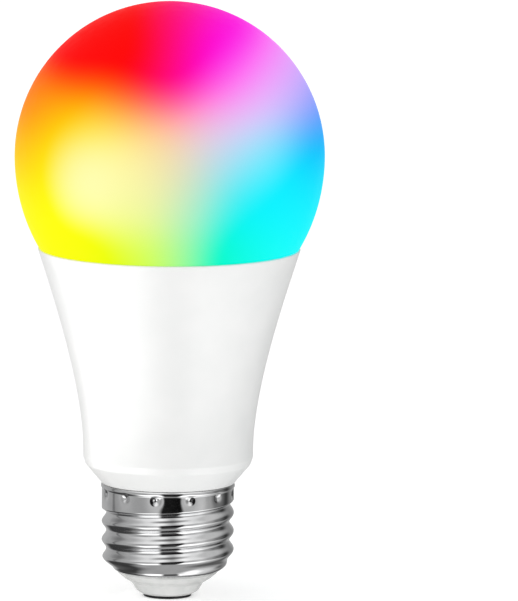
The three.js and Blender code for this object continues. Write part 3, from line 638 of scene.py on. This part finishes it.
def globe_material():
    """Frosted polycarbonate, lit from inside in bands of colour, with that light also painted into
    its base colour.
    """
    material, tree, shader = new_material("frosted_globe")
    colour = glow_colour(tree)
    # The base colour is the glow's colour too, at a fifth of its strength. This is painted light
    # from inside the globe, in place of the frosted globe's own milky white.
    glow_painted_base = add(tree, "ShaderNodeMix", data_type="RGBA", blend_type="MULTIPLY")
    glow_painted_base.inputs["Factor"].default_value = 1
    glow_painted_base.inputs["B"].default_value = (0.2, 0.2, 0.2, 1)
    tree.links.new(colour, glow_painted_base.inputs["A"])
    tree.links.new(glow_painted_base.outputs["Result"], shader.inputs["Base Color"])
    tree.links.new(colour, shader.inputs["Emission Color"])
    shader.inputs["Emission Strength"].default_value = 0.82
    shader.inputs["Specular IOR Level"].default_value = 0.04
    tree.links.new(spread(tree, noise(tree, 2.0), 0.42, 0.5), shader.inputs["Roughness"])
    bump(tree, shader, noise(tree, 0.25, detail=1), 0.004)
    return material


def housing_material():
    """White semi-gloss PBT with the faint orange peel of a polished mould."""
    material, tree, shader = new_material("white_housing")
    tone = two_tone(tree, noise(tree, 9.0), (0.86, 0.865, 0.86), (0.9, 0.9, 0.895))
    tree.links.new(tone, shader.inputs["Base Color"])
    tree.links.new(spread(tree, noise(tree, 2.5), 0.3, 0.38), shader.inputs["Roughness"])
    shader.inputs["Coat Weight"].default_value = 0.35
    shader.inputs["Coat Roughness"].default_value = 0.28
    bump(tree, shader, noise(tree, 1.2, detail=2), 0.006)
    return material


def plating_material():
    """Bright nickel on drawn sheet, with fine rolling lines round the shell."""
    material, tree, shader = new_material("nickel_plating")
    tone = two_tone(tree, noise(tree, 4.0, detail=4), (0.66, 0.665, 0.67), (0.78, 0.78, 0.785))
    tree.links.new(tone, shader.inputs["Base Color"])
    shader.inputs["Metallic"].default_value = 1
    tree.links.new(spread(tree, noise(tree, 0.8, detail=3), 0.04, 0.09), shader.inputs["Roughness"])
    bump(tree, shader, drawn_noise(tree, (0.15, 0.15, 6), 0.7), 0.002)
    return material


def insulator_material():
    """Opaque pale pressed glass."""
    material, tree, shader = new_material("pressed_glass")
    tone = two_tone(tree, noise(tree, 2.0, detail=3), (0.62, 0.63, 0.62), (0.72, 0.72, 0.71))
    tree.links.new(tone, shader.inputs["Base Color"])
    tree.links.new(spread(tree, noise(tree, 1.0), 0.14, 0.24), shader.inputs["Roughness"])
    shader.inputs["Coat Weight"].default_value = 0.4
    shader.inputs["Coat Roughness"].default_value = 0.08
    bump(tree, shader, noise(tree, 0.8), 0.008)
    return material


# ---------------------------------------------------------------- materials of the inner parts


# For each slot: two tones, how rough it is, and in millimetres the size of its patches of tone, and
# the size and depth of its grain.
INNER_FINISHES = {
    "silicone": {
        "dark": (0.72, 0.72, 0.7),
        "light": (0.84, 0.84, 0.82),
        "roughness": 0.42,
        "tone_size": 2.5,
        "grain": 0.9,
        "grain_depth": 0.02,
    },
    "thermal_pad": {
        "dark": (0.26, 0.28, 0.31),
        "light": (0.36, 0.38, 0.41),
        "roughness": 0.75,
        "tone_size": 1.2,
        "grain": 0.25,
        "grain_depth": 0.02,
    },
    "screw_steel": {
        "dark": (0.5, 0.5, 0.51),
        "light": (0.66, 0.66, 0.67),
        "roughness": 0.28,
        "metallic": 1,
        "tone_size": 0.8,
        "grain": 0.15,
        "grain_depth": 0.004,
    },
    "epoxy": {
        "dark": (0.012, 0.012, 0.013),
        "light": (0.03, 0.03, 0.032),
        "roughness": 0.5,
        "tone_size": 0.9,
        "grain": 0.1,
        "grain_depth": 0.006,
    },
    "crystal_can": {
        "dark": (0.56, 0.56, 0.57),
        "light": (0.72, 0.72, 0.73),
        "roughness": 0.22,
        "metallic": 1,
        "tone_size": 0.7,
        "grain": 0.12,
        "grain_depth": 0.003,
    },
    "connector": {
        "dark": (0.76, 0.74, 0.66),
        "light": (0.87, 0.85, 0.78),
        "roughness": 0.38,
        "tone_size": 1.6,
        "grain": 0.3,
        "grain_depth": 0.005,
    },
    "antenna_copper": {
        "dark": (0.72, 0.48, 0.18),
        "light": (0.88, 0.64, 0.3),
        "roughness": 0.3,
        "metallic": 1,
        "tone_size": 0.8,
        "grain": 0.15,
        "grain_depth": 0.004,
    },
    "ferrite": {
        "dark": (0.022, 0.022, 0.024),
        "light": (0.055, 0.055, 0.058),
        "roughness": 0.6,
        "tone_size": 0.7,
        "grain": 0.12,
        "grain_depth": 0.012,
    },
    "bobbin": {
        "dark": (0.01, 0.01, 0.01),
        "light": (0.022, 0.021, 0.02),
        "roughness": 0.42,
        "tone_size": 1.2,
        "grain": 0.2,
        "grain_depth": 0.005,
    },
    "film_capacitor": {
        "dark": (0.3, 0.02, 0.01),
        "light": (0.45, 0.045, 0.025),
        "roughness": 0.22,
        "tone_size": 2.2,
        "grain": 0.9,
        "grain_depth": 0.03,
    },
    "varistor": {
        "dark": (0.012, 0.06, 0.24),
        "light": (0.025, 0.11, 0.38),
        "roughness": 0.24,
        "tone_size": 2.0,
        "grain": 0.9,
        "grain_depth": 0.03,
    },
    "resistor": {
        "dark": (0.04, 0.2, 0.12),
        "light": (0.07, 0.28, 0.17),
        "roughness": 0.6,
        "tone_size": 0.9,
        "grain": 0.15,
        "grain_depth": 0.01,
    },
    "live_insulation": {
        "dark": (0.38, 0.015, 0.01),
        "light": (0.5, 0.03, 0.02),
        "roughness": 0.34,
        "tone_size": 1.5,
        "grain": 0.4,
        "grain_depth": 0.006,
    },
    "neutral_insulation": {
        "dark": (0.74, 0.74, 0.71),
        "light": (0.84, 0.84, 0.82),
        "roughness": 0.34,
        "tone_size": 1.5,
        "grain": 0.4,
        "grain_depth": 0.006,
    },
    "chip_ceramic": {
        "dark": (0.3, 0.2, 0.11),
        "light": (0.42, 0.3, 0.18),
        "roughness": 0.45,
        "tone_size": 0.5,
        "grain": 0.1,
        "grain_depth": 0.005,
    },
}

# Solder mask over bare board, and over the copper tracks.
BOARDS = {
    "led_board": ((0.78, 0.78, 0.76), (0.88, 0.88, 0.86)),
    "driver_board": ((0.008, 0.085, 0.03), (0.02, 0.16, 0.06)),
    "wifi_board": ((0.006, 0.03, 0.09), (0.012, 0.06, 0.17)),
}

# Colour and radius of the phosphor or resin in an LED's white package.
LED_WINDOWS = {
    "warm_led": ((0.88, 0.5, 0.07), 1.2),
    "cool_led": ((0.86, 0.78, 0.2), 1.2),
    "rgb_led": ((0.6, 0.62, 0.62), 1.8),
}
LED_PACKAGE = (0.84, 0.84, 0.82)


def from_middle(tree, node):
    """The surface point in millimetres from the middle of a CAD node."""
    low, high = node_box(node)
    return vector_math(tree, "SUBTRACT", object_point(tree), (low + high) / 2).outputs[0]


def led_material(node, window, radius):
    """A white package round a window full of phosphor, which is a little uneven."""
    material, tree, shader = new_material(node)
    flat = vector_math(tree, "MULTIPLY", from_middle(tree, node), (1, 1, 0)).outputs[0]
    distance = vector_math(tree, "LENGTH", flat).outputs["Value"]
    inside = scalar_math(tree, "LESS_THAN", distance, radius)
    dim = tuple(0.8 * part for part in window)
    phosphor = two_tone(tree, noise(tree, 0.3), dim, window)
    tree.links.new(mixed(tree, inside, LED_PACKAGE, phosphor), shader.inputs["Base Color"])
    tree.links.new(spread(tree, noise(tree, 0.4), 0.22, 0.34), shader.inputs["Roughness"])
    bump(tree, shader, noise(tree, 0.15), 0.004)
    return material


def board_material(name, bare, over_tracks):
    """Glossy solder mask, raised and paler where copper tracks run under it."""
    material, tree, shader = new_material(name)
    cell = 7  # millimetres across a patch of nested tracks
    spacing = 0.09  # from the middle of a gap to the middle of a track, as a share of a cell
    cells = add(tree, "ShaderNodeTexVoronoi", distance="MANHATTAN")
    cells.inputs["Scale"].default_value = 1 / cell
    tree.links.new(object_point(tree), cells.inputs["Vector"])
    across = scalar_math(tree, "PINGPONG", cells.outputs["Distance"], spacing)
    track = scalar_math(tree, "GREATER_THAN", across, spacing * 0.45)
    tree.links.new(mixed(tree, track, bare, over_tracks), shader.inputs["Base Color"])
    tree.links.new(spread(tree, noise(tree, 1.5), 0.26, 0.36), shader.inputs["Roughness"])
    bump(tree, shader, track, 0.035)
    return material


def sleeve_material(node):
    """Dark shrink sleeve with the pale stripe that marks the capacitor's negative side."""
    material, tree, shader = new_material(node)
    parts = add(tree, "ShaderNodeSeparateXYZ")
    tree.links.new(from_middle(tree, node), parts.inputs[0])
    low, high = node_box(node)
    in_stripe = scalar_math(tree, "GREATER_THAN", parts.outputs["X"], (high.x - low.x) * 0.42)
    sleeve = two_tone(tree, noise(tree, 2.0), (0.008, 0.01, 0.018), (0.018, 0.022, 0.036))
    tree.links.new(mixed(tree, in_stripe, sleeve, (0.55, 0.57, 0.58)), shader.inputs["Base Color"])
    tree.links.new(spread(tree, noise(tree, 1.2), 0.2, 0.3), shader.inputs["Roughness"])
    bump(tree, shader, noise(tree, 0.6), 0.012)
    return material


def winding_material(name):
    """Yellow tape pulled tight over turns of wire, which show through as fine ridges."""
    material, tree, shader = new_material(name)
    turns = add(tree, "ShaderNodeTexWave", bands_direction="Z")
    turns.inputs["Scale"].default_value = 0.9
    turns.inputs["Distortion"].default_value = 0.4
    tree.links.new(object_point(tree), turns.inputs["Vector"])
    tone = mixed(tree, turns.outputs["Fac"], (0.56, 0.3, 0.02), (0.76, 0.47, 0.05))
    tree.links.new(tone, shader.inputs["Base Color"])
    tree.links.new(spread(tree, noise(tree, 0.8), 0.18, 0.28), shader.inputs["Roughness"])
    bump(tree, shader, turns.outputs["Fac"], 0.05)
    return material


def drawn_material(name):
    """Bare aluminium with the long fine scores of the drawing die."""
    material, tree, shader = new_material(name)
    scores = drawn_noise(tree, (3, 3, 0.06), 0.9)
    tone = two_tone(tree, scores, (0.5, 0.51, 0.52), (0.72, 0.73, 0.74))
    tree.links.new(tone, shader.inputs["Base Color"])
    shader.inputs["Metallic"].default_value = 1
    tree.links.new(spread(tree, scores, 0.24, 0.4), shader.inputs["Roughness"])
    bump(tree, shader, scores, 0.012)
    return material


def inner_material(node, slot):
    """The material of an inner piece, by the kind of thing it is made of."""
    if slot in LED_WINDOWS:
        return led_material(node, *LED_WINDOWS[slot])
    if slot in BOARDS:
        return board_material(slot, *BOARDS[slot])
    if slot == "capacitor_sleeve":
        return sleeve_material(node)
    if slot == "winding_tape":
        return winding_material(slot)
    if slot == "heatsink":
        return drawn_material(slot)
    return plain_material(slot, **INNER_FINISHES[slot])


# ---------------------------------------------------------------- camera, lights and floor

CAMERA_DISTANCE = 2400
CAMERA_ELEVATION = math.radians(8.4)
CAMERA_ROLL = math.radians(0.38)
VIEW_HEIGHT = 118.3  # height of what the camera frames at the bulb
AIM = (17.72, 0, 58.95)
SENSOR = 36


def make_camera():
    data = bpy.data.cameras.new("camera")
    data.sensor_width = SENSOR
    data.lens = SENSOR * CAMERA_DISTANCE / VIEW_HEIGHT
    data.clip_start = 0.1
    data.clip_end = 50
    camera = bpy.data.objects.new("camera", data)
    back = Vector((0, -math.cos(CAMERA_ELEVATION), math.sin(CAMERA_ELEVATION)))
    camera.location = (Vector(AIM) + back * CAMERA_DISTANCE) * MM
    level = Euler((math.pi / 2 - CAMERA_ELEVATION, 0, 0)).to_matrix()
    roll = Euler((0, 0, CAMERA_ROLL)).to_matrix()
    camera.rotation_euler = (level @ roll).to_euler()
    bpy.context.scene.collection.objects.link(camera)
    bpy.context.scene.camera = camera


def make_floor():
    """A pale sheet that the bulb stands on, a hair below its contact."""
    half = 8000
    height = -0.02
    corners = [(-half, -half), (half, -half), (half, half), (-half, half)]
    floor = finish_mesh("floor", [(x, y, height) for x, y in corners], [(0, 1, 2, 3)])
    material, tree, shader = new_material("pale_floor")
    shader.inputs["Base Color"].default_value = (0.93, 0.93, 0.93, 1)
    shader.inputs["Roughness"].default_value = 0.9
    shader.inputs["Specular IOR Level"].default_value = 0.1
    shader.inputs["Emission Color"].default_value = (1, 1, 1, 1)
    shader.inputs["Emission Strength"].default_value = 0.36
    floor.data.materials.append(material)
    floor.visible_glossy = False
    floor.visible_shadow = False


# Brightness of the studio by angle round the bulb, in degrees from the front towards +X: level
# with the bulb, on the floor and overhead. The dark flags give the plated cap its contrast.
STUDIO_WALLS = [
    (-180, 0.5),
    (-150, 0.5),
    (-116, 0.42),
    (-109, 0.2),
    (-102, 0.38),
    (-80, 0.5),
    (-46, 0.42),
    (-18, 0.62),
    (-10, 0.01),
    (25, 0.005),
    (32, 0.55),
    (60, 0.66),
    (79, 0.42),
    (98, 0.2),
    (122, 0.05),
    (145, 0.28),
    (180, 0.5),
]
STUDIO_FLOOR = [
    (-180, 0.2),
    (-150, 0.05),
    (-105, 0.06),
    (-85, 0.12),
    (-68, 0.45),
    (-50, 1.7),
    (-22, 1.9),
    (-9, 0.08),
    (22, 0.06),
    (34, 1.8),
    (72, 1.5),
    (95, 0.8),
    (130, 0.4),
    (152, 0.12),
    (180, 0.2),
]
STUDIO_CEILING = [
    (-180, 0.25),
    (-120, 0.2),
    (-95, 0.5),
    (-50, 1.0),
    (-20, 1.2),
    (8, 0.62),
    (34, 1.2),
    (60, 1.0),
    (85, 0.65),
    (140, 0.6),
    (180, 0.35),
]
NADIR = (0.42, 0.42, 0.42)  # straight down
ZENITH = (0.12, 0.12, 0.12)  # straight up


def studio_ring(tree, position, levels):
    """Brightness all the way round the studio at one height."""
    ramp = add(tree, "ShaderNodeValToRGB")
    ramp.color_ramp.interpolation = "EASE"
    elements = ramp.color_ramp.elements
    while len(elements) < len(levels):
        elements.new(0.5)
    for element, (degrees, brightness) in zip(elements, levels):
        element.position = degrees / 360 + 0.5
        element.color = (brightness, brightness, brightness, 1)
    tree.links.new(position, ramp.inputs["Fac"])
    return ramp.outputs["Color"]


def fade(tree, value, start, end, before, after):
    """Turns smoothly from one colour to another as a value goes from start to end."""
    step = add(tree, "ShaderNodeMapRange", interpolation_type="SMOOTHSTEP")
    step.inputs["From Min"].default_value = start
    step.inputs["From Max"].default_value = end
    tree.links.new(value, step.inputs["Value"])
    return mixed(tree, step.outputs["Result"], before, after)


SOFT_LIGHT = 0.765  # brightness of the even light all round
SOFT_SIDE = 0.24  # how much brighter it is towards SOFT_FROM, and darker away from it
SOFT_FROM = Vector((-0.8, -0.5, 0.3)).normalized()
BACKDROP = (1, 1, 1)


def make_studio():
    """World light: rings of grey for reflections, soft light from the left and a white backdrop."""
    world = bpy.data.worlds.new("studio")
    bpy.context.scene.world = world
    world.use_nodes = True
    tree = world.node_tree
    background = tree.nodes["Background"]
    direction = add(tree, "ShaderNodeTexCoord").outputs["Generated"]
    parts = add(tree, "ShaderNodeSeparateXYZ")
    tree.links.new(direction, parts.inputs[0])
    toward_viewer = scalar_math(tree, "MULTIPLY", parts.outputs["Y"], -1.0)
    angle = scalar_math(tree, "ARCTAN2", parts.outputs["X"], toward_viewer)
    position = scalar_math(tree, "MULTIPLY_ADD", angle, 1 / ROUND, 0.5)
    # Where each ring takes over from what is under it, from -1 straight down to 1 straight up.
    reflected = NADIR
    for start, end, above in (
        (-0.94, -0.8, studio_ring(tree, position, STUDIO_FLOOR)),
        (-0.52, -0.3, studio_ring(tree, position, STUDIO_WALLS)),
        (0.25, 0.6, studio_ring(tree, position, STUDIO_CEILING)),
        (0.84, 0.92, ZENITH),
    ):
        reflected = fade(tree, parts.outputs["Z"], start, end, reflected, above)

    side = vector_math(tree, "DOT_PRODUCT", direction, SOFT_FROM).outputs["Value"]
    soft = scalar_math(tree, "MULTIPLY_ADD", side, SOFT_SIDE, SOFT_LIGHT)
    path = add(tree, "ShaderNodeLightPath")
    lit = mixed(tree, path.outputs["Is Glossy Ray"], soft, reflected)
    seen = mixed(tree, path.outputs["Is Camera Ray"], lit, BACKDROP)
    tree.links.new(seen, background.inputs["Color"])


SOFTBOX_WIDTH = 1750
SOFTBOX_HEIGHT = 1000
SOFTBOX_WATTS = 8.5
SOFTBOX_TARGET = Vector((0, 0, 45))  # inside the middle of the housing
SOFTBOX_DISTANCE = 900
SOFTBOX_AZIMUTH = math.radians(-87)  # from the front towards +X
SOFTBOX_ELEVATION = math.radians(-25)


def make_softbox(receiver):
    """The big softbox at the left, which only shows as the gloss on one piece."""
    data = bpy.data.lights.new("softbox", "AREA")
    data.shape = "RECTANGLE"
    data.size = SOFTBOX_WIDTH * MM
    data.size_y = SOFTBOX_HEIGHT * MM
    data.energy = SOFTBOX_WATTS
    softbox = bpy.data.objects.new("softbox", data)
    outward = Vector(
        (
            math.cos(SOFTBOX_ELEVATION) * math.sin(SOFTBOX_AZIMUTH),
            -math.cos(SOFTBOX_ELEVATION) * math.cos(SOFTBOX_AZIMUTH),
            math.sin(SOFTBOX_ELEVATION),
        )
    )
    softbox.location = (SOFTBOX_TARGET + outward * SOFTBOX_DISTANCE) * MM
    softbox.rotation_euler = (-outward).to_track_quat("-Z", "Y").to_euler()
    softbox.visible_diffuse = False
    bpy.context.scene.collection.objects.link(softbox)
    lit = bpy.data.collections.new("lit_by_softbox")
    lit.objects.link(receiver)
    softbox.light_linking.receiver_collection = lit


# ---------------------------------------------------------------- assembly


OUTSIDE = ("diffuser_dome", "housing_shell", "screw_shell", "cap_insulator", "centre_contact")


def dress(piece, material, node):
    """Gives a fine piece its material, attaches it to the root body and hides the CAD node that it
    stands for.
    """
    piece.data.materials.append(material)
    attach(piece, "root")
    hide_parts(node)


def dress_inner_pieces():
    """Gives each CAD node that is kept as it is the material of its slot."""
    made = {}
    for part in frame["record"]["subparts"]:
        node, slot = part["node"], part["material_slot"]
        if node in OUTSIDE:
            continue
        # LEDs and capacitors have a pattern round their own middle, so each has its own material.
        one_each = slot in LED_WINDOWS or slot == "capacitor_sleeve"
        key = node if one_each else slot
        if key not in made:
            made[key] = inner_material(node, slot)
        nodes[node].material_slots[0].material = made[key]


make_camera()
make_studio()
make_floor()

dress(make_globe(), globe_material(), "diffuser_dome")
housing = make_housing()
dress(housing, housing_material(), "housing_shell")
make_softbox(housing)
dress(make_screw_shell(), plating_material(), "screw_shell")
dress(make_insulator(), insulator_material(), "cap_insulator")
# The contact's metal is painted near-black. This is painted shade: its underside stands in shadow
# and shows only dark reflections.
shade_darkened_contact = plain_material(
    "shade_darkened_contact", (0.03, 0.03, 0.03), (0.07, 0.07, 0.07), 0.35, metallic=1
)
dress(make_contact(), shade_darkened_contact, "centre_contact")

dress_inner_pieces()

bpy.context.scene.view_settings.view_transform = "Standard"
